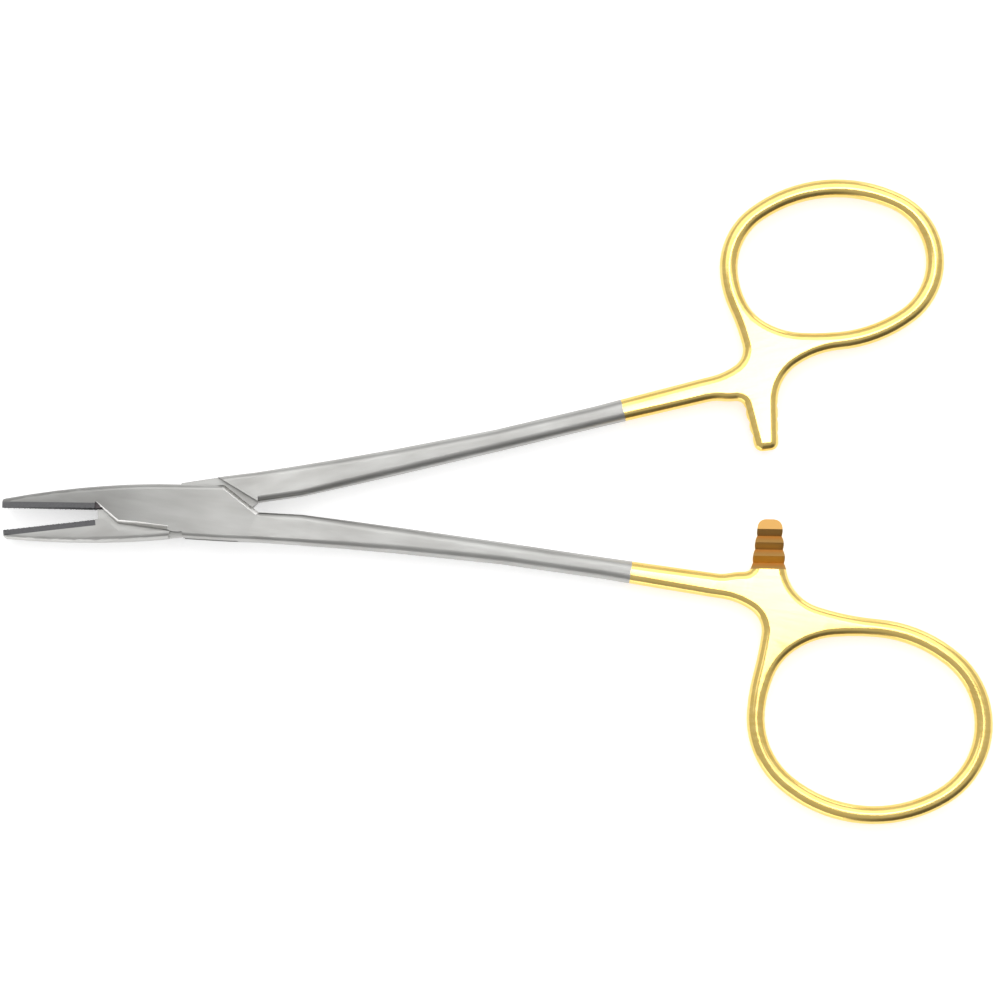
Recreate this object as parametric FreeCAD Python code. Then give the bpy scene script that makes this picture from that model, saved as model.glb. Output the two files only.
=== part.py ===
import FreeCAD, Part
import math
import os

Vector = FreeCAD.Vector

# A ring-handled needle holder with a box lock, lying flat.
# Millimetres and degrees. The origin is on the pivot axis, at the underside of the box lock.
# +X runs from the pivot to the finger rings, along the line that halves the opening.
#
# Each half is drawn closed, with its jaw above the centre line and its shank below.
# The box half stays that way up, and the tongue half is turned over about X.

# Box lock
BOX_THICKNESS = 4.6
BOX_HALF_WIDTH = 3.42
CHEEK = 1.25
CHEEK_CLEARANCE = 0.05
EDGE_CLEARANCE = 0.08
BOX_EDGE_RADIUS = 0.7
CHEEK_CHAMFER = 0.5
PIN_RADIUS = 1.5
PIN_CLEARANCE = 0.04
HUB_RADIUS = 2.8
HUB_START = 115.0
HUB_END = 76.0
SHOULDER_FOOT = (-9.6, 0.0)
SHOULDER_KNEE = (-7.75, 1.75)
CROTCH = (10.66, -0.06)
CHEEK_CORNER = 6.1
SLOT_REAR_FOOT = 7.9
BOX_BACK = 2.0
BOX_HEEL = 3.85
HEEL_RADIUS = 3.66

# Nose of the tongue, which closes the view between the jaws in front of the box lock
TONGUE_NOSE_RADIUS = 10.45
TONGUE_NOSE_ANGLE = 7.0
NOSE_SLOT_ANGLE = 8.0

# Jaws
JAW_LENGTH = 23.0
JAW_TIP_DEPTH = 1.25
JAW_TIP_TAPER = 0.3
JAW_MID_DEPTH = 2.95
JAW_MID = 10.8
JAW_TIP_THICKNESS = 1.9
JAW_MID_THICKNESS = 3.74
JAW_TOP_START = 4.5
JAW_TIP_FLARE = 1.1
JAW_GAP = 0.02
NOSE_THICKNESS = 2.4
NOSE_SIDE_RADIUS = 0.8
NOSE_PLAN_RADIUS = 0.55
NOSE_WIDENING = 2.4

# Carbide inserts, each set back from the foot of the box lock's shoulder
INSERT_SETBACK = 1.15
INSERT_DEPTH = 0.8
CUT_PITCH = 0.5
CUT_DEPTH = 0.14
NOTCH_DEPTH = 0.95

# Shanks: step from the section before, distance from the centre line, width, thickness, edge radius
SHANK = [
    (5.54, 2.19, 3.95, 3.7, 0.8),
    (5.8, 2.68, 3.70, 3.2, 1.0),
    (7.4, 3.37, 3.37, 3.0, 1.1),
    (13.2, 4.76, 2.88, 2.75, 1.15),
    (13.3, 6.45, 2.82, 2.6, 1.15),
    (7.9, 7.53, 3.05, 2.45, 1.12),
    (6.2, 8.36, 3.2, 2.4, 1.1),
]
SHANK_END_ANGLE = -7.6

# Handles, whose places are counted from the end of the shank
INNER_RUN = 0.3
OUTER_RUN = 1.6
HANDLE_THICKNESS = 2.4
HANDLE_EDGE_RADIUS = 1.1
RING_WIRE = 2.4
CORNER_FULLNESS = 0.76
NECK_HEADING = (-0.14, -1.0)
BOX_RING = {"reach": 4.84, "drop": 16.32, "half_length": 13.7, "half_width": 11.0, "tilt": -4.0,
            "neck_inset": 1.07, "neck_rise": -1.02}
TONGUE_RING = {"reach": 4.0, "drop": 15.0, "half_length": 12.4, "half_width": 8.9, "tilt": 1.0,
               "neck_inset": 2.06, "neck_rise": 0.62}

# Ratchet: sides at the root and at the tip, from the end of the shank
RATCHET_LEFT = (5.2, 6.1)
RATCHET_RIGHT = (9.7, 9.1)
RATCHET_ROOT = -5.8
RATCHET_TIP = 0.45
RATCHET_CORNER = 1.15
RATCHET_GAP = 0.06
ROOT_BLEND = 1.0
ROOT_DIP = 0.75
TEETH = 3
TOOTH_PITCH = 1.77
TOOTH_DEPTH = 0.62
TOOTH_BACK = 0.9
FIRST_CREST = -0.9

# Opening of the photographed pose, each half from the centre line
HALF_OPENING = 3.6

MID = BOX_THICKNESS / 2
TONGUE = BOX_THICKNESS - 2 * (CHEEK + CHEEK_CLEARANCE)
SHANK_END = (CROTCH[0] + sum(station[0] for station in SHANK), -SHANK[-1][1])

# How far cutting blocks reach sideways, along the piece and past the steel
REACH = 8.0
FAR = 14.0
OVERRUN = 1.0


def at(point, z=0.0):
    return Vector(point[0], point[1], z)


def polar(radius, degrees):
    turn = math.radians(degrees)
    return (radius * math.cos(turn), radius * math.sin(turn))


def line(start, end):
    return Part.makeLine(at(start), at(end))


def biarc(start, heading, end, final_heading):
    """Two arcs that leave start and reach end in the given directions, and meet without a corner."""
    first = Vector(*heading).normalize()
    last = Vector(*final_heading).normalize()
    begin = at(start)
    finish = at(end)
    span = finish - begin
    spread = 2 * (1 - first.dot(last))
    lean = span.dot(first + last)
    reach = span.dot(span) / (2 * lean)
    if spread > 1e-9:
        reach = (math.sqrt(lean * lean + spread * span.dot(span)) - lean) / spread
    before = begin + first * reach
    after = finish - last * reach
    meeting = (before + after) * 0.5
    along = (after - before).normalize()
    return [tangent_arc(begin, first, meeting), tangent_arc(meeting, along, finish)]


def tangent_arc(start, heading, end):
    """The arc, or straight line, that leaves start along heading and reaches end."""
    span = end - start
    side = Vector(-heading.y, heading.x, 0)
    offset = span.dot(side)
    if abs(offset) < 1e-6:
        return Part.makeLine(start, end)
    radius = span.dot(span) / (2 * offset)
    centre = start + side * radius
    bisector = (span.normalize().cross(Vector(0, 0, 1))) * (1 if radius > 0 else -1)
    return Part.Arc(start, centre + bisector * abs(radius), end).toShape()


def arc(start, middle, end):
    return Part.Arc(at(start), at(middle), at(end)).toShape()


def slab(edges, bottom, top):
    """The closed outline, as a plate from one height to another."""
    face = Part.Face(Part.Wire(edges))
    face.translate(Vector(0, 0, bottom))
    return face.extrude(Vector(0, 0, top - bottom))


def polygon(points, bottom, top):
    corners = [at(point) for point in points]
    face = Part.Face(Part.makePolygon(corners + corners[:1]))
    face.translate(Vector(0, 0, bottom))
    return face.extrude(Vector(0, 0, top - bottom))


def shift(point, along, distance):
    return (point[0] + along[0] * distance, point[1] + along[1] * distance)


def left_of(start, end):
    """The direction square to the line, on its left."""
    length = math.hypot(end[0] - start[0], end[1] - start[1])
    return ((start[1] - end[1]) / length, (end[0] - start[0]) / length)


def bend(radius):
    """How far the middle of a rounded corner lies in from its two sides."""
    return radius * (1 - math.sqrt(0.5))


def side_profile():
    """The thickness of jaw and box seen from the side, as a block that trims their plan."""
    tip = JAW_TIP_THICKNESS / 2
    middle = JAW_MID_THICKNESS / 2

    def edge(side):
        start = Vector(-JAW_LENGTH - OVERRUN, 0, MID + side * tip)
        top = Vector(-JAW_TOP_START, 0, MID + side * MID)
        heel = Vector(CROTCH[0], 0, MID + side * MID)
        slope = Vector(JAW_LENGTH - JAW_MID, 0, side * JAW_TIP_FLARE * (middle - tip))
        curve = Part.BSplineCurve()
        curve.interpolate(Points=[start, Vector(-JAW_MID, 0, MID + side * middle), top],
                          InitialTangent=slope, FinalTangent=Vector(2 * JAW_TOP_START, 0, 0))
        return [curve.toShape(), Part.makeLine(top, heel)]

    upper = edge(1)
    lower = edge(-1)
    nose = Part.makeLine(lower[0].Vertexes[0].Point, upper[0].Vertexes[0].Point)
    heel = Part.makeLine(upper[-1].Vertexes[1].Point, lower[-1].Vertexes[1].Point)
    face = Part.Face(Part.Wire(Part.__sortEdges__([nose] + upper + [heel] + lower)))
    face.translate(Vector(0, -REACH, 0))
    return face.extrude(Vector(0, 2 * REACH, 0))


def nose_outline(half, radius):
    """Rounded at the tip of the jaw, then wide enough to clear all that lies behind it."""
    tip = -JAW_LENGTH
    inset = bend(radius)
    edges = []
    for side in (1, -1):
        start = (tip, side * (half - radius))
        end = (tip + radius, side * half)
        wide = (end[0] + NOSE_WIDENING, side * REACH)
        edges.append(arc(start, (tip + inset, side * (half - inset)), end))
        edges += [line(end, wide), line(wide, (FAR, side * REACH))]
    edges.append(line((tip, half - radius), (tip, radius - half)))
    edges.append(line((FAR, REACH), (FAR, -REACH)))
    return Part.__sortEdges__(edges)


def nose_block():
    """All that lies behind the rounded tip, which is round seen from the side and from above."""
    from_above = slab(nose_outline(JAW_TIP_DEPTH, NOSE_PLAN_RADIUS), -REACH, REACH + BOX_THICKNESS)
    from_side = slab(nose_outline(NOSE_THICKNESS / 2, NOSE_SIDE_RADIUS), -REACH, REACH)
    from_side.rotate(Vector(0, 0, 0), Vector(1, 0, 0), 90)
    from_side.translate(Vector(0, 0, MID))
    return from_above.common(from_side)


def shoulder(grow=0.0):
    """Foot, knee and end of the cheek's front edge, moved outwards by grow."""
    hub_start = polar(HUB_RADIUS, HUB_START)
    ramp = left_of(SHOULDER_FOOT, SHOULDER_KNEE)
    back = left_of(SHOULDER_KNEE, hub_start)
    mitre = grow / (1 + ramp[0] * back[0] + ramp[1] * back[1])
    knee = shift(shift(SHOULDER_KNEE, ramp, mitre), back, mitre)
    return shift(SHOULDER_FOOT, ramp, grow), knee, shift(hub_start, back, grow)


def mirrored(point):
    return (point[0], -point[1])


def front_plan(notched):
    """Jaw and box seen from above, with the place of the insert still filled.
    Returns the back, the heel, the cheek's front and rear edges, and the rest of the outline."""
    overrun = -JAW_LENGTH - OVERRUN
    foot, knee, hub_start = [mirrored(p) for p in shoulder()]
    slope = (foot[0] - knee[0], foot[1] - knee[1])
    crest = shift(foot, slope, NOTCH_DEPTH / slope[1]) if notched else foot
    inside = (insert_heel(), INSERT_DEPTH if notched else JAW_GAP)
    hub_end = polar(HUB_RADIUS, -HUB_END)
    hub_middle = polar(HUB_RADIUS, -(HUB_START + HUB_END) / 2)
    heel_start = polar(HEEL_RADIUS, -HUB_END)
    heel_end = (CROTCH[0], -BOX_HEEL)
    corner = (CHEEK_CORNER, BOX_HALF_WIDTH)
    back_start = (-BOX_BACK, BOX_HALF_WIDTH)
    beyond = (overrun, JAW_TIP_DEPTH - JAW_TIP_TAPER)
    back = [arc(beyond, (-JAW_MID, JAW_MID_DEPTH), back_start), line(back_start, corner)]
    heel = biarc(heel_end, (-1, 0), heel_start, (-1, 0.05))
    cheek_front = [line(hub_start, knee), line(knee, crest)]
    cheek_rear = [line(corner, CROTCH)]
    rest = [
        line(heel_start, hub_end),
        arc(hub_end, hub_middle, hub_start),
        line(crest, inside),
        line(inside, (overrun, JAW_GAP)),
        line((overrun, JAW_GAP), beyond),
        line(CROTCH, heel_end),
    ]
    if notched:
        heel_foot = (insert_heel(), JAW_GAP)
        rest[3:4] = [line(inside, heel_foot), line(heel_foot, (overrun, JAW_GAP))]
    return back, heel, cheek_front, cheek_rear, rest


def insert_heel():
    return SHOULDER_FOOT[0] - INSERT_SETBACK


def rim(shape, plan):
    """The edges of the upper and lower surfaces that lie over these lines of the plan."""
    edges = []
    for edge in shape.Edges:
        middle = edge.valueAt((edge.FirstParameter + edge.LastParameter) / 2)
        ends = [vertex.Point for vertex in edge.Vertexes]
        upright = abs(ends[0].z - ends[-1].z) > 0.9 * edge.Length
        below = Part.Vertex(middle.x, middle.y, 0)
        if not upright and min(below.distToShape(curve)[0] for curve in plan) < 0.01:
            edges.append(edge)
    return edges


def front(notched):
    """Jaw and box, rounded along the back and the heel, before the seat of the insert is cut.
    The notched one has the cheeks, whose free edges are bevelled."""
    back, heel, cheek_front, cheek_rear, rest = front_plan(notched)
    outline = Part.__sortEdges__(back + heel + cheek_front + cheek_rear + rest)
    block = slab(outline, 0, BOX_THICKNESS).common(side_profile())
    block = block.makeFillet(BOX_EDGE_RADIUS, rim(block, back))
    block = block.makeFillet(BOX_EDGE_RADIUS, rim(block, heel))
    if notched:
        for edge in cheek_front + cheek_rear:
            block = block.cut(bevels(edge))
    return block.common(nose_block())


def bevels(edge):
    """Wedges that bevel the upper and lower rims of a straight wall, whose steel is on its right."""
    start, end = [vertex.Point for vertex in edge.Vertexes]
    along = (end - start).normalize()
    outwards = Vector(-along.y, along.x, 0)
    up = Vector(0, 0, 1)
    inner = start - outwards * CHEEK_CHAMFER
    outer = start + outwards * OVERRUN
    lower = outer - up * (CHEEK_CHAMFER + OVERRUN)
    wedge = Part.Face(Part.makePolygon([inner, outer, lower, inner])).extrude(end - start)
    below = wedge.mirror(Vector(0, 0, 0), up)
    wedge.translate(up * BOX_THICKNESS)
    return Part.makeCompound([wedge, below])


def seat():
    """What the insert takes of the jaw: all of its face in front of the insert's heel."""
    return polygon([(-JAW_LENGTH - OVERRUN, -OVERRUN), (insert_heel(), -OVERRUN),
                    (insert_heel(), INSERT_DEPTH), (-JAW_LENGTH - OVERRUN, INSERT_DEPTH)],
                   -OVERRUN, BOX_THICKNESS + OVERRUN)


def crossing(rear, bottom, top):
    """What one half cuts away so that the other can pass through and turn."""
    foot, knee, end = shoulder(EDGE_CLEARANCE)
    outwards = polar(REACH, HUB_START)
    points = [(foot[0], 0), foot, knee, end, outwards, (FAR, REACH)] + rear + [(foot[0], -REACH)]
    return polygon(points, bottom, top)


def nose_sector(radius, angle, thickness):
    """A middle layer in front of the pivot, from the face of the jaw towards the other jaw."""
    sweep = Part.makeCylinder(radius, thickness, Vector(0, 0, MID - thickness / 2), Vector(0, 0, 1), angle)
    return sweep.rotated(Vector(0, 0, 0), Vector(0, 0, 1), 180)


def slanted_rear():
    """The rear edge of the opening that follows the end of the other half's cheek."""
    corner = (CHEEK_CORNER, -BOX_HALF_WIDTH)
    crotch = mirrored(CROTCH)
    outwards = left_of(crotch, corner)
    slant = (outwards[1], -outwards[0])
    near = shift(crotch, outwards, EDGE_CLEARANCE)
    far = shift(corner, outwards, EDGE_CLEARANCE)
    return [shift(near, slant, -REACH / 2), shift(far, slant, REACH / 2)]


def steep_rear():
    """The rear wall of the slot inside the box half."""
    top = (CROTCH[0] + EDGE_CLEARANCE, -CROTCH[1])
    return [(top[0], REACH), top, (SLOT_REAR_FOOT, -BOX_HEEL), (SLOT_REAR_FOOT, -REACH)]


def section(centre, angle, width, thickness, radius):
    """A rounded rectangle across the shank."""
    turn = math.radians(angle)
    across = Vector(-math.sin(turn), math.cos(turn), 0)
    up = Vector(0, 0, 1)
    middle = at(centre, MID)
    half_width = width / 2
    half_height = thickness / 2
    inset = bend(radius)

    def point(side, height):
        return middle + across * side + up * height

    corners = []
    for side, height in ((1, 1), (-1, 1), (-1, -1), (1, -1)):
        flat = point(side * half_width, height * (half_height - radius))
        crown = point(side * (half_width - radius), height * half_height)
        halfway = point(side * (half_width - inset), height * (half_height - inset))
        first, last = (flat, crown) if side == height else (crown, flat)
        corners.append((first, halfway, last))
    loop = []
    for index, (first, halfway, last) in enumerate(corners):
        loop.append(Part.Arc(first, halfway, last).toShape())
        loop.append(Part.makeLine(last, corners[(index + 1) % 4][0]))
    return Part.Wire(loop)


def shank():
    """Runs from the box to the handle, each section square to the line between its neighbours."""
    x = CROTCH[0]
    places = [(x, (CROTCH[1] - BOX_HEEL) / 2)]
    for step, offset, *_ in SHANK:
        x += step
        places.append((x, -offset))
    sections = [section(places[0], 0, CROTCH[1] + BOX_HEEL, BOX_THICKNESS, BOX_EDGE_RADIUS)]
    for index, (_, _, width, thickness, radius) in enumerate(SHANK, 1):
        angle = SHANK_END_ANGLE
        if index < len(SHANK):
            before, after = places[index - 1], places[index + 1]
            angle = math.degrees(math.atan2(after[1] - before[1], after[0] - before[0]))
        sections.append(section(places[index], angle, width, thickness, radius))
    return Part.makeLoft(sections, True, True)


def ring_axes(ring):
    turn = math.radians(ring["tilt"])
    return (math.cos(turn), math.sin(turn)), (-math.sin(turn), math.cos(turn))


def ring_point(ring, along, up):
    """A place counted from the ring's centre, along its long and short axes."""
    long_axis, short_axis = ring_axes(ring)
    near_end = (SHANK_END[0] + ring["reach"], SHANK_END[1] - ring["drop"])
    return shift(shift(near_end, long_axis, along + ring["half_length"] + RING_WIRE), short_axis, up)


def quadrant(ring, length, width, side, height, fullness=None):
    """A quarter of an oval, from its end on the long axis to its end on the short axis.
    A fullness above the square root of a half makes its corner squarer."""
    long_axis, short_axis = ring_axes(ring)
    start = ring_point(ring, side * length, 0)
    end = ring_point(ring, 0, height * width)
    upright = (short_axis[0] * height, short_axis[1] * height)
    inwards = (-long_axis[0] * side, -long_axis[1] * side)
    if fullness is None:
        return biarc(start, upright, end, inwards)
    corner = ring_point(ring, side * length * fullness, height * width * fullness)
    diagonal = ring_point(ring, side * length * (fullness - 1), height * width * (fullness + 1))
    heading = (diagonal[0] - corner[0], diagonal[1] - corner[1])
    return biarc(start, upright, corner, heading) + biarc(corner, heading, end, inwards)


def handle(ring):
    """Finger ring, its web and the root of the ratchet, as one rounded plate."""
    along = polar(1.0, SHANK_END_ANGLE)
    across = polar(1.0, SHANK_END_ANGLE + 90)
    half_shank = SHANK[-1][2] / 2
    inner = shift(SHANK_END, across, half_shank)
    outer = shift(SHANK_END, across, -half_shank)
    inner_run = shift(inner, along, INNER_RUN)
    outer_run = shift(outer, along, OUTER_RUN)
    length = ring["half_length"] + RING_WIRE
    width = ring["half_width"] + RING_WIRE
    long_axis, short_axis = ring_axes(ring)
    left = ring_point(ring, -length, 0)
    top = ring_point(ring, 0, width)
    neck = ring_point(ring, ring["neck_inset"] - length, ring["neck_rise"] + ring["half_width"])
    root_left, tip_left = bar_side(RATCHET_LEFT)
    root_right, tip_right = bar_side(RATCHET_RIGHT)
    rising = (tip_right[0] - root_right[0], tip_right[1] - root_right[1])
    falling = (root_left[0] - tip_left[0], root_left[1] - tip_left[1])
    blend = (root_left[0] - ROOT_BLEND, root_left[1] - ROOT_DIP)

    outline = [line(outer, outer_run)]
    outline += biarc(outer_run, along, neck, NECK_HEADING)
    outline += biarc(neck, NECK_HEADING, left, (-short_axis[0], -short_axis[1]))
    for side, height in ((-1, -1), (1, -1), (1, 1)):
        outline += quadrant(ring, length, width, side, height)
    outline += biarc(top, (-long_axis[0], -long_axis[1]), root_right, rising)
    outline += [line(root_right, tip_right), line(tip_right, tip_left), line(tip_left, root_left)]
    outline += biarc(root_left, falling, blend, (-1, 0))
    outline += biarc(blend, (-1, 0), inner_run, (-along[0], -along[1]))
    outline.append(line(inner_run, inner))

    length -= RING_WIRE
    width -= RING_WIRE
    hole = quadrant(ring, length, width, -1, 1, CORNER_FULLNESS)
    for side, height in ((-1, -1), (1, -1), (1, 1)):
        hole += quadrant(ring, length, width, side, height)

    bottom = MID - HANDLE_THICKNESS / 2
    top = MID + HANDLE_THICKNESS / 2
    closed = Part.__sortEdges__(outline + [line(inner, outer)])
    body = slab(closed, bottom, top).cut(slab(Part.__sortEdges__(hole), bottom, top))
    at_tip = [edge for edge in body.Edges if edge.BoundBox.YMin > 0]
    corners = [edge for edge in at_tip if edge.BoundBox.ZLength > HANDLE_THICKNESS / 2]
    body = body.makeFillet(RATCHET_CORNER, corners)
    level = [edge for edge in body.Edges if edge.BoundBox.ZLength < 0.01]
    free = [edge for edge in level if edge.CenterOfMass.x > SHANK_END[0] + INNER_RUN / 4]
    return body.makeFillet(HANDLE_EDGE_RADIUS, free).cut(tooth_gaps())


def bar_side(distances):
    """One side of the ratchet bar, from its root to its tip."""
    root, tip = distances
    return (SHANK_END[0] + root, RATCHET_ROOT), (SHANK_END[0] + tip, RATCHET_TIP)


def tooth_gaps():
    """All above the lower half of the bar, and the saw-tooth spaces in it.
    They are steep behind each crest, so that the teeth hold against opening."""
    left = SHANK_END[0] + RATCHET_LEFT[0] - ROOT_BLEND
    right = SHANK_END[0] + RATCHET_RIGHT[0] + OVERRUN
    top = MID - RATCHET_GAP
    root = top - TOOTH_DEPTH
    points = [(RATCHET_TIP + OVERRUN, BOX_THICKNESS), (RATCHET_TIP + OVERRUN, root), (FIRST_CREST, top)]
    for index in range(TEETH):
        crest = FIRST_CREST - index * TOOTH_PITCH
        points += [(crest - TOOTH_BACK, root), (crest - TOOTH_PITCH, top)]
    points.append((points[-1][0], BOX_THICKNESS))
    corners = [Vector(left, y, z) for y, z in points]
    return Part.Face(Part.makePolygon(corners + corners[:1])).extrude(Vector(right - left, 0, 0))


def turned_over(shape):
    """The same shape on the other half: mirrored top to bottom and across the centre line."""
    return shape.mirror(Vector(0, 0, MID), Vector(0, 0, 1)).mirror(Vector(0, 0, 0), Vector(0, 1, 0))


def opened(shape, side):
    return shape.rotated(Vector(0, 0, 0), Vector(0, 0, 1), side * HALF_OPENING)


def bore(radius):
    return Part.makeCylinder(radius, BOX_THICKNESS + 2 * OVERRUN, Vector(0, 0, -OVERRUN))


def blank(ring, notched):
    return front(notched).cut(seat()).fuse([shank(), handle(ring)]).removeSplitter()


def box_half():
    layer = BOX_THICKNESS - 2 * CHEEK
    slot = crossing(steep_rear(), CHEEK, BOX_THICKNESS - CHEEK)
    nose_slot = nose_sector(TONGUE_NOSE_RADIUS + EDGE_CLEARANCE, NOSE_SLOT_ANGLE, layer)
    nose_slot.rotate(Vector(0, 0, 0), Vector(0, 0, 1), -NOSE_SLOT_ANGLE)
    return blank(BOX_RING, True).cut(slot).cut(nose_slot).cut(bore(PIN_RADIUS))


def tongue_half():
    recess = (BOX_THICKNESS - TONGUE) / 2
    below = crossing(slanted_rear(), -OVERRUN, recess)
    above = crossing(slanted_rear(), BOX_THICKNESS - recess, BOX_THICKNESS + OVERRUN)
    nose = nose_sector(TONGUE_NOSE_RADIUS, TONGUE_NOSE_ANGLE, TONGUE)
    body = blank(TONGUE_RING, False).cut(below).cut(above).fuse(nose).removeSplitter()
    return body.cut(bore(PIN_RADIUS + PIN_CLEARANCE))


def insert():
    """A carbide facing with a cross-cut face, ground together with the jaw that carries it."""
    tip = [-JAW_LENGTH, insert_heel()]
    return front(False).common(seat()).cut(cross_cuts(*tip))


def cross_cuts(tip, heel):
    """V-grooves at 45 degrees both ways, which leave rows of small pyramids."""
    half = CUT_PITCH / 2
    step = CUT_PITCH * math.sqrt(2)
    corners = [Vector(-half, JAW_GAP, -REACH), Vector(half, JAW_GAP, -REACH),
               Vector(0, JAW_GAP + CUT_DEPTH, -REACH)]
    groove = Part.Face(Part.makePolygon(corners + corners[:1])).extrude(Vector(0, 0, 2 * REACH))
    grooves = []
    for index in range(int((heel - tip + BOX_THICKNESS) / step) + 1):
        for lean in (45, -45):
            copy = groove.copy()
            copy.rotate(Vector(0, 0, 0), Vector(0, 1, 0), lean)
            copy.translate(Vector(tip + index * step, 0, MID))
            grooves.append(copy)
    return Part.makeCompound(grooves)


def pivot_pin():
    return Part.makeCylinder(PIN_RADIUS, BOX_THICKNESS)


def main():
    facing = insert()
    parts = {
        "box_half": opened(box_half(), -1),
        "tongue_half": opened(turned_over(tongue_half()), 1),
        "box_jaw_insert": opened(facing, -1),
        "tongue_jaw_insert": opened(turned_over(facing), 1),
        "pivot_pin": pivot_pin(),
    }
    os.makedirs("parts", exist_ok=True)
    for name, shape in parts.items():
        print(name, shape.ShapeType, len(shape.Solids), shape.isValid(), round(shape.Volume, 2))
        shape.exportStep(f"parts/{name}.step")


main()
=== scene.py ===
# %% [markdown]
# A needle holder is two steel levers that cross in a box lock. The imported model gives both
# levers, their carbide facings and the pivot pin as solids, already in place and riding on their
# bodies. This lesson dresses that frame: smooth shading, brushed steel, plated gold, dark carbide,
# and the light and camera of a catalogue picture.

# %% Load the frame
import math
import bmesh
import bpy
from mathutils import Matrix, Vector


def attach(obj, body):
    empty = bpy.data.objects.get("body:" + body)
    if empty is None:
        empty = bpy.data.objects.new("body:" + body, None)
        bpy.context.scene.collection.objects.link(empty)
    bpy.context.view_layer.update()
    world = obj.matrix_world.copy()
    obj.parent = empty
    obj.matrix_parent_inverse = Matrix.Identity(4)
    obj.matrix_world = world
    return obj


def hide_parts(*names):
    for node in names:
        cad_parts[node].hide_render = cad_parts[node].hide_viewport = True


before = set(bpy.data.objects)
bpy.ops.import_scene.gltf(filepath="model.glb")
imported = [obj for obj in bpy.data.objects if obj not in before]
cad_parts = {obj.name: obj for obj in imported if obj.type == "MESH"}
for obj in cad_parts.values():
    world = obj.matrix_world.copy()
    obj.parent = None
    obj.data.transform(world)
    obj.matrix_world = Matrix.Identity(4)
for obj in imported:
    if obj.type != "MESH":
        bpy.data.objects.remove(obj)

MM = 0.001
scene = bpy.context.scene
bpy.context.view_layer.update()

# %% [markdown]
# Each lever is turned by half of the opening from the centre line, which is the X axis. Brushing
# and plating follow a lever, not the picture, so every lever has its own direction here: the box
# half leads down to the right and the tongue half leads up to the right.

# %% Directions of the two levers
HALF_OPENING = math.radians(3.6)
SHANK_LEAN = math.radians(7.4)
LEVERS = {"box_half": -1, "tongue_half": 1}


def shank_heading(side):
    """The angle of a lever's shank from the X axis."""
    return side * (HALF_OPENING + SHANK_LEAN)


for name, side in LEVERS.items():
    print(name, "leans", round(math.degrees(shank_heading(side)), 1), "degrees")

# %% [markdown]
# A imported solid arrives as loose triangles, each with its own corners, so it shades in flats. A
# copy whose equal corners are merged can be shaded smoothly. Edges sharper than a fillet's steps
# stay crisp, and weighting the normals by face area keeps the broad ground faces flat right up to
# their rounded edges.

# %% Merge a solid into a smoothly shaded piece
MERGE_DISTANCE = 0.0002 * MM
CRISP_ANGLE = math.radians(26)


def merged_mesh(node):
    mesh = bmesh.new()
    mesh.from_mesh(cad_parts[node].data)
    bmesh.ops.remove_doubles(mesh, verts=mesh.verts, dist=MERGE_DISTANCE)
    return mesh


def shade(mesh):
    for face in mesh.faces:
        face.smooth = True
    for edge in mesh.edges:
        edge.smooth = len(edge.link_faces) == 2 and edge.calc_face_angle() < CRISP_ANGLE


def make_piece(name, mesh, materials, body, node=None):
    """Turns the bmesh into an object that rides on the body and stands for the node, if any."""
    shade(mesh)
    data = bpy.data.meshes.new(name)
    mesh.to_mesh(data)
    mesh.free()
    piece = bpy.data.objects.new(name, data)
    scene.collection.objects.link(piece)
    for material in materials:
        data.materials.append(material)
    weighting = piece.modifiers.new("even_faces", "WEIGHTED_NORMAL")
    weighting.keep_sharp = True
    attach(piece, body)
    if node:
        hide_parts(node)
    print(name, len(data.polygons), "faces")
    return piece


# %% [markdown]
# Real metal is never one even tone. Noise that is stretched along a lever reads as brushing when
# it is fine and as faint clouds when it is coarse. It is read from Object coordinates, so it stays
# with the metal when the lever swings, and it may drive colour, roughness and a very low relief.

# %% Start a metal, even or patterned


def new_material(name):
    material = bpy.data.materials.new(name)
    material.use_nodes = True
    nodes = material.node_tree.nodes
    print("finish", name)
    return material, nodes, material.node_tree.links, nodes["Principled BSDF"]


def even_metal(name, colour, roughness):
    """A metal with one colour and one roughness all over."""
    material, _, _, metal = new_material(name)
    metal.inputs["Metallic"].default_value = 1.0
    metal.inputs["Base Color"].default_value = (*colour, 1)
    metal.inputs["Roughness"].default_value = roughness
    return material


def stretched_noise(nodes, links, heading, scale, detail=2.0):
    """Noise on Object coordinates, turned to the heading and stretched along it."""
    place = nodes.new("ShaderNodeTexCoord")
    turn = nodes.new("ShaderNodeMapping")
    turn.vector_type = "TEXTURE"
    turn.inputs["Rotation"].default_value = (0, 0, heading)
    stretch = nodes.new("ShaderNodeMapping")
    stretch.inputs["Scale"].default_value = scale
    noise = nodes.new("ShaderNodeTexNoise")
    noise.inputs["Scale"].default_value = 1.0
    noise.inputs["Detail"].default_value = detail
    links.new(place.outputs["Object"], turn.inputs["Vector"])
    links.new(turn.outputs["Vector"], stretch.inputs["Vector"])
    links.new(stretch.outputs["Vector"], noise.inputs["Vector"])
    return noise.outputs["Fac"]


# %% Turn noise into tones, roughness and relief
NOISE_SPAN = (0.3, 0.7)


def spread(nodes, links, value, low, high, span=NOISE_SPAN):
    """The value, spread from its own span over the range from low to high."""
    ramp = nodes.new("ShaderNodeMapRange")
    ramp.inputs["From Min"].default_value = span[0]
    ramp.inputs["From Max"].default_value = span[1]
    ramp.inputs["To Min"].default_value = low
    ramp.inputs["To Max"].default_value = high
    links.new(value, ramp.inputs["Value"])
    return ramp.outputs["Result"]


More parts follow.
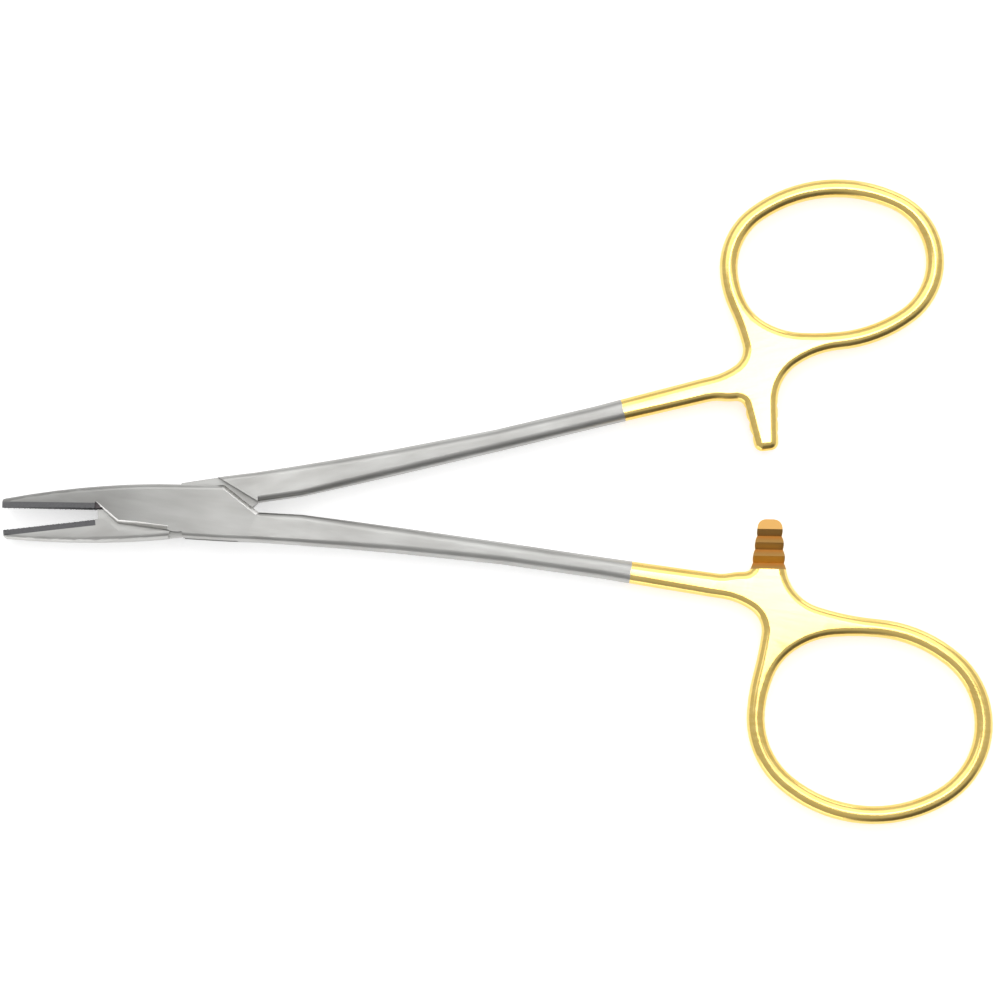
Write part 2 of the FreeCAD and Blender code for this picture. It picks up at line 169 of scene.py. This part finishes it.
def tint(nodes, links, value, dark, light):
    """A colour between two tones of one metal."""
    mix = nodes.new("ShaderNodeMix")
    mix.data_type = "RGBA"
    mix.inputs["A"].default_value = (*dark, 1)
    mix.inputs["B"].default_value = (*light, 1)
    links.new(value, mix.inputs["Factor"])
    return mix.outputs["Result"]


def relief(nodes, links, value, height):
    bump = nodes.new("ShaderNodeBump")
    bump.inputs["Distance"].default_value = height
    bump.inputs["Strength"].default_value = 1.0
    links.new(value, bump.inputs["Height"])
    return bump.outputs["Normal"]


def patterned_metal(metal, nodes, links, pattern, roughness, height):
    """Lets one pattern drive a metal's roughness and its relief."""
    metal.inputs["Metallic"].default_value = 1.0
    links.new(spread(nodes, links, pattern, *roughness), metal.inputs["Roughness"])
    links.new(relief(nodes, links, pattern, height), metal.inputs["Normal"])


# %% [markdown]
# Surgical steel is blasted or brushed to a satin face so that it doesn't dazzle under theatre
# lamps. What the eye reads as satin is a mirror broken up by scratches far longer than wide, so the
# brushing drives roughness and relief, and coarser clouds drive the colour. Each lever's colour
# also carries painted light and shade: the upper jaw is painted darker towards its tip, a painted
# shade, and the lower one a little lighter, a painted highlight, both fading to plain steel behind
# the pivot.

# %% Satin steel, with painted shading towards the tips
BRUSH_SCALE = (500, 14000, 14000)
CLOUD_SCALE = (120, 500, 500)
# Painted shade darkens the box half's jaw towards its tip, and a painted highlight lightens the
# tongue half's jaw; both fade out behind the pivot.
SHADING_SPAN = (-16 * MM, 6 * MM)
TIP_SHADING = {"box_half": 0.62, "tongue_half": 1.2}
STEEL_DARK, STEEL_LIGHT = (0.42, 0.415, 0.40), (0.52, 0.52, 0.505)
STEEL_ROUGHNESS = (0.34, 0.46)
SCRATCH_DEPTH = 0.0015 * MM


def painted_shading_along(nodes, links, colour, tip_shading):
    """The colour, times a grey that goes from the tip's painted shading to 1 along the X axis."""
    place = nodes.new("ShaderNodeTexCoord")
    split = nodes.new("ShaderNodeSeparateXYZ")
    mix = nodes.new("ShaderNodeMix")
    mix.data_type = "RGBA"
    mix.blend_type = "MULTIPLY"
    mix.inputs["Factor"].default_value = 1.0
    links.new(place.outputs["Object"], split.inputs[0])
    # This grey is painted light and shade along the lever.
    tone = spread(nodes, links, split.outputs["X"], tip_shading, 1.0, SHADING_SPAN)
    links.new(colour, mix.inputs["A"])
    links.new(tone, mix.inputs["B"])
    return mix.outputs["Result"]


def satin_steel(name, heading, tip_shading):
    material, nodes, links, metal = new_material(name)
    brushing = stretched_noise(nodes, links, heading, BRUSH_SCALE, detail=3.0)
    clouds = stretched_noise(nodes, links, heading, CLOUD_SCALE)
    tones = spread(nodes, links, clouds, 0.0, 1.0)
    colour = tint(nodes, links, tones, STEEL_DARK, STEEL_LIGHT)
    links.new(painted_shading_along(nodes, links, colour, tip_shading), metal.inputs["Base Color"])
    patterned_metal(metal, nodes, links, brushing, STEEL_ROUGHNESS, SCRATCH_DEPTH)
    return material


# %% [markdown]
# The bevels of the box lock are ground after the faces are brushed. They are too narrow to show any
# pattern and show as a bright band, so they get an even metal: its low roughness is the grinding,
# and its pale colour is a painted highlight.

# %% Ground steel, with a painted highlight, for the bevels
# Pale colour: a painted highlight on the bevels.
GROUND_STEEL_AND_HIGHLIGHT = (0.90, 0.89, 0.87)
GROUND_ROUGHNESS = 0.35

# %% [markdown]
# The rings are gold plated, which marks an instrument with carbide facings. Plating is thinner
# than paint and copies the steel under it, so it is a second material on the same mesh and not a
# piece of its own. The bath leaves it brighter and smoother than the satin steel.

# %% Gold plating
POLISH_SCALE = (250, 1800, 1800)
GOLD_DEEP, GOLD_PALE = (0.88, 0.63, 0.18), (0.93, 0.69, 0.24)
GOLD_ROUGHNESS = (0.15, 0.21)
POLISH_DEPTH = 0.002 * MM


def gold_plating(name, heading):
    material, nodes, links, metal = new_material(name)
    polishing = stretched_noise(nodes, links, heading, POLISH_SCALE)
    tones = spread(nodes, links, polishing, 0.0, 1.0)
    links.new(tint(nodes, links, tones, GOLD_DEEP, GOLD_PALE), metal.inputs["Base Color"])
    patterned_metal(metal, nodes, links, polishing, GOLD_ROUGHNESS, POLISH_DEPTH)
    return material


# %% [markdown]
# The sloped faces of the ratchet's teeth are given a dark brown gold, which is painted shade. It is
# an even metal too.

# %% Painted shade for the ratchet's teeth
# Dark brown gold: painted shade on the teeth.
TEETH_PAINTED_SHADE = (0.56, 0.32, 0.10)
TEETH_ROUGHNESS = 0.3

# %% [markdown]
# The facings are sintered tungsten carbide, harder and darker than steel, with a cross-cut face
# that grips the needle. Its grain is fine and even in all directions.

# %% Carbide
GRAIN_SCALE = (9000, 9000, 9000)
CARBIDE_DARK, CARBIDE_LIGHT = (0.12, 0.12, 0.125), (0.18, 0.18, 0.185)
CARBIDE_ROUGHNESS = (0.38, 0.52)
GRAIN_DEPTH = 0.002 * MM


def carbide(name):
    material, nodes, links, metal = new_material(name)
    grain = stretched_noise(nodes, links, 0.0, GRAIN_SCALE)
    tones = spread(nodes, links, grain, 0.0, 1.0)
    links.new(tint(nodes, links, tones, CARBIDE_DARK, CARBIDE_LIGHT), metal.inputs["Base Color"])
    patterned_metal(metal, nodes, links, grain, CARBIDE_ROUGHNESS, GRAIN_DEPTH)
    return material


# %% [markdown]
# Two finishes belong to a few faces only. They could be picked by hand in the editor, but a script
# has to know them by what they are. The bevels are the faces at 45 degrees that look in three
# known directions near the pivot. The teeth are the only faces of a ratchet bar that look out from
# half way through its height, upwards on the box half and downwards on the tongue half.

# %% Know the bevels and the teeth
BEVEL_HEADINGS = (-137.0, -100.5, 49.0)
HEADING_SLACK = 1.5
BEVEL_RISE = math.sqrt(0.5)
RISE_SLACK = 0.01
BOX_REACH = 12 * MM
THICKNESS = 4.6 * MM
RATCHET_LOW = Vector((73.5, -11.2, 1.4)) * MM
RATCHET_HIGH = Vector((81.5, -4.6, 2.35)) * MM
TOOTH_RISE = 0.3


def on_bevel(face):
    """True on the 45 degree bevels of the box lock."""
    normal = face.normal
    heading = math.degrees(math.atan2(normal.y, normal.x))
    close = abs(face.calc_center_median().x) < BOX_REACH
    sloped = abs(abs(normal.z) - BEVEL_RISE) < RISE_SLACK
    return close and sloped and any(abs(heading - known) < HEADING_SLACK
                                    for known in BEVEL_HEADINGS)


def on_teeth(face, side):
    """True on the ratchet's teeth. The tongue half is looked at as if it were turned over."""
    centre, rise = face.calc_center_median(), face.normal.z
    if side > 0:
        centre = Vector((centre.x, -centre.y, THICKNESS - centre.z))
        rise = -rise
    inside = all(low < c < high for low, c, high in zip(RATCHET_LOW, centre, RATCHET_HIGH))
    return inside and rise > TOOTH_RISE


# %% [markdown]
# The line between steel and gold crosses each shank a little before the ratchet. One plane cuts
# the merged mesh there, so the colour changes on a clean edge, and the faces beyond it take the
# second material. Only the box half has bevels.

# %% Dress the two levers
PLATING_START = 59.8 * MM
STEEL, GOLD, TEETH, BEVELS = range(4)


def plated_lever(node, side, body):
    mesh = merged_mesh(node)
    heading = shank_heading(side)
    along = Vector((math.cos(heading), math.sin(heading), 0))
    edge = along * PLATING_START
    bmesh.ops.bisect_plane(mesh, geom=mesh.verts[:] + mesh.edges[:] + mesh.faces[:],
                           plane_co=edge, plane_no=along, dist=MERGE_DISTANCE)
    mesh.normal_update()
    for face in mesh.faces:
        beyond = (face.calc_center_median() - edge).dot(along) > 0
        face.material_index = GOLD if beyond else STEEL
        # The teeth take a dark brown gold, which is painted shade.
        if on_teeth(face, side):
            face.material_index = TEETH
        # The bevels take a pale metal, which is a painted highlight.
        if side < 0 and not beyond and on_bevel(face):
            face.material_index = BEVELS
    finishes = [satin_steel(node + "_steel", heading, TIP_SHADING[node]),
                gold_plating(node + "_gold", heading),
                even_metal(node + "_teeth", TEETH_PAINTED_SHADE, TEETH_ROUGHNESS)]
    if side < 0:
        finishes.append(even_metal(node + "_bevels", GROUND_STEEL_AND_HIGHLIGHT, GROUND_ROUGHNESS))
    return make_piece(node + "_dressed", mesh, finishes, body, node)


lower_lever = plated_lever("box_half", -1, "box_side")
upper_lever = plated_lever("tongue_half", 1, "tongue_side")

# %% [markdown]
# The facings need no cut, only smooth shading and their grain. The pin is ground flush with the box
# lock, and it takes the box half's brushing and tone, with its painted shade, so that its ends
# don't show.

# %% Dress the facings and the pin
facing_finish = carbide("cross_cut_carbide")
for node, body in (("box_jaw_insert", "box_side"), ("tongue_jaw_insert", "tongue_side")):
    facing = make_piece(node + "_dressed", merged_mesh(node), [facing_finish], body, node)

pin_finish = satin_steel("pin_steel", shank_heading(-1), TIP_SHADING["box_half"])
pin = make_piece("pivot_pin_dressed", merged_mesh("pivot_pin"), [pin_finish], "box_side",
                 "pivot_pin")

# %% [markdown]
# The notch behind the heel of the upper facing shows a dark spot. A dark block stands there as
# painted shade, where the notch only lies in shadow. In the notch of each cheek a cube's corners
# are moved to the notch's own four, a step below the ground faces and clear of the tongue between
# the cheeks, and both blocks are turned with their lever. An extruded face would do as well, but
# extruding gives the new faces in an order that changes from run to run.

# %% Painted shade in the notches
# Where a corner of the cube goes, by whether it lies at +X and whether it lies at +Y.
NOTCH = {(False, False): (-10.74, 0.12), (True, False): (-9.72, 0.12),
         (True, True): (-10.60, 0.96), (False, True): (-10.74, 0.82)}
NOTCH_SHADE_LAYERS = [(0.75, 1.20), (3.40, 3.85)]
# Near black: painted shade, standing where the notch is in shadow.
NOTCH_SHADE = (0.13, 0.115, 0.12)
NOTCH_SHADE_ROUGHNESS = 0.55


def notch_shade_mesh():
    mesh = bmesh.new()
    for bottom, top in NOTCH_SHADE_LAYERS:
        for corner in bmesh.ops.create_cube(mesh, size=1.0)["verts"]:
            x, y = NOTCH[corner.co.x > 0, corner.co.y > 0]
            corner.co = Vector((x, y, top if corner.co.z > 0 else bottom)) * MM
    bmesh.ops.rotate(mesh, verts=mesh.verts, matrix=Matrix.Rotation(-HALF_OPENING, 3, "Z"))
    return mesh


notch_shade_finish = even_metal("notch_painted_shade", NOTCH_SHADE, NOTCH_SHADE_ROUGHNESS)
# A dark block in each notch, as painted shade.
make_piece("notch_shade_block", notch_shade_mesh(), [notch_shade_finish], "box_side")

# %% [markdown]
# The instrument lies on a white table. The table's own white comes from its material, seen by the
# camera and by reflections alike, and its dull part still takes the instrument's soft shadow.

# %% Table
FLOOR_DROP = 0.05 * MM
FLOOR_SIZE = 8.0
FLOOR_GLOW = 0.5
FLOOR_COLOUR = (0.9, 0.9, 0.9, 1)
SEEN_BY = ("Is Camera Ray", "Is Glossy Ray", "Is Transmission Ray")


def white_table():
    mesh = bmesh.new()
    bmesh.ops.create_grid(mesh, x_segments=1, y_segments=1, size=FLOOR_SIZE,
                          matrix=Matrix.Translation((0, 0, -FLOOR_DROP)))
    data = bpy.data.meshes.new("table_top")
    mesh.to_mesh(data)
    mesh.free()
    table = bpy.data.objects.new("table_top", data)
    scene.collection.objects.link(table)
    data.materials.append(glowing_white())


def glowing_white():
    """A dull white, with a glow added for the rays that look at it and not for those that light."""
    material, nodes, links, surface = new_material("white_table")
    nodes.remove(surface)
    dull = nodes.new("ShaderNodeBsdfDiffuse")
    dull.inputs["Color"].default_value = FLOOR_COLOUR
    glow = nodes.new("ShaderNodeEmission")
    both = nodes.new("ShaderNodeAddShader")
    rays = nodes.new("ShaderNodeLightPath")
    seen = rays.outputs[SEEN_BY[0]]
    for kind in SEEN_BY[1:]:
        either = nodes.new("ShaderNodeMath")
        either.operation = "MAXIMUM"
        links.new(seen, either.inputs[0])
        links.new(rays.outputs[kind], either.inputs[1])
        seen = either.outputs[0]
    level = nodes.new("ShaderNodeMath")
    level.operation = "MULTIPLY"
    level.inputs[1].default_value = FLOOR_GLOW
    links.new(seen, level.inputs[0])
    links.new(level.outputs[0], glow.inputs["Strength"])
    links.new(dull.outputs[0], both.inputs[0])
    links.new(glow.outputs[0], both.inputs[1])
    links.new(both.outputs[0], nodes["Material Output"].inputs["Surface"])
    return material


white_table()

# %% [markdown]
# Metal shows its surroundings more than its own colour, so the lamps are shapes to be mirrored. A
# small strong panel overhead stands where the flats of the rings throw the camera's view, and
# turns them white. A wide panel behind gives every rounded edge its bright line. Two low panels
# stand where the bevels look, in front on the left and behind on the right.

# %% Panels of light
TARGET = Vector((42.2, -0.4, 2.3)) * MM
PANELS = [("overhead_panel", (0.172, 0.10, 1.19), 0.152, 0.19, 0.61),
          ("rear_panel", (0.04, 0.563, 1.06), 1.6, 0.87, 4.4),
          ("front_low_panel", (-0.356, -0.612, 0.10), 0.75, 0.15, 0.75),
          ("rear_low_panel", (0.42, 0.57, 0.10), 0.3, 0.15, 0.3)]


def soft_panel(name, place, width, depth, watts):
    """A rectangular lamp that faces the instrument and stays out of the picture."""
    lamp = bpy.data.lights.new(name, "AREA")
    lamp.shape = "RECTANGLE"
    lamp.size = width
    lamp.size_y = depth
    lamp.energy = watts
    panel = bpy.data.objects.new(name, lamp)
    scene.collection.objects.link(panel)
    panel.location = place
    panel.rotation_euler = (TARGET - Vector(place)).to_track_quat("-Z", "Y").to_euler()
    panel.visible_camera = False
    print(name, watts, "W")


for panel in PANELS:
    soft_panel(*panel)

# %% [markdown]
# Between the panels the metal mirrors the room. It is paler behind the instrument than in front,
# and one corner, in front on the right, is dark: that gives the rings the brown spots that make
# gold look like metal. Both follow from the direction of each ray alone, with no picture.

# %% The room around
FRONT_WALL = 0.48
REAR_WALL = 0.75
WALL_SPAN = (-0.9, 0.9)
CORNER = Vector((0.46, -0.84, 0.45)).normalized()
CORNER_SPAN = (0.78, 0.96)
CORNER_LEVEL = 0.28


def room():
    world = bpy.data.worlds.new("room")
    scene.world = world
    world.use_nodes = True
    nodes, links = world.node_tree.nodes, world.node_tree.links
    place = nodes.new("ShaderNodeTexCoord")
    split = nodes.new("ShaderNodeSeparateXYZ")
    links.new(place.outputs["Generated"], split.inputs[0])
    walls = spread(nodes, links, split.outputs["Y"], FRONT_WALL, REAR_WALL, WALL_SPAN)
    towards = nodes.new("ShaderNodeVectorMath")
    towards.operation = "DOT_PRODUCT"
    towards.inputs[1].default_value = CORNER
    links.new(place.outputs["Generated"], towards.inputs[0])
    corner = spread(nodes, links, towards.outputs["Value"], 1.0, CORNER_LEVEL, CORNER_SPAN)
    corner.node.interpolation_type = "SMOOTHSTEP"
    shaded = nodes.new("ShaderNodeMath")
    shaded.operation = "MULTIPLY"
    links.new(walls, shaded.inputs[0])
    links.new(corner, shaded.inputs[1])
    links.new(shaded.outputs["Value"], nodes["Background"].inputs["Color"])
    nodes["Background"].inputs["Strength"].default_value = 1.0
    print("room from", FRONT_WALL, "in front to", REAR_WALL, "behind")


room()

# %% [markdown]
# The picture is taken from straight above with a long lens, leaning a few degrees towards the
# lower ring, and turned a little about its own axis. A long lens keeps both ends of the instrument
# at one scale.

# %% Camera
FRAME_WIDTH = 131.0 * MM
LENS = 150.0
SENSOR = 36.0
CAMERA_LEAN = math.radians(4.0)
CAMERA_ROLL = math.radians(2.55)


def catalogue_camera():
    data = bpy.data.cameras.new("camera")
    data.lens = LENS
    data.sensor_width = SENSOR
    camera = bpy.data.objects.new("camera", data)
    scene.collection.objects.link(camera)
    distance = FRAME_WIDTH * LENS / SENSOR
    turn = Matrix.Rotation(-CAMERA_ROLL, 4, "Z") @ Matrix.Rotation(CAMERA_LEAN, 4, "X")
    camera.matrix_world = Matrix.Translation(TARGET) @ turn @ Matrix.Translation((0, 0, distance))
    scene.camera = camera
    print("camera stands", round(distance, 3), "m away")


catalogue_camera()
scene.view_settings.view_transform = "Standard"
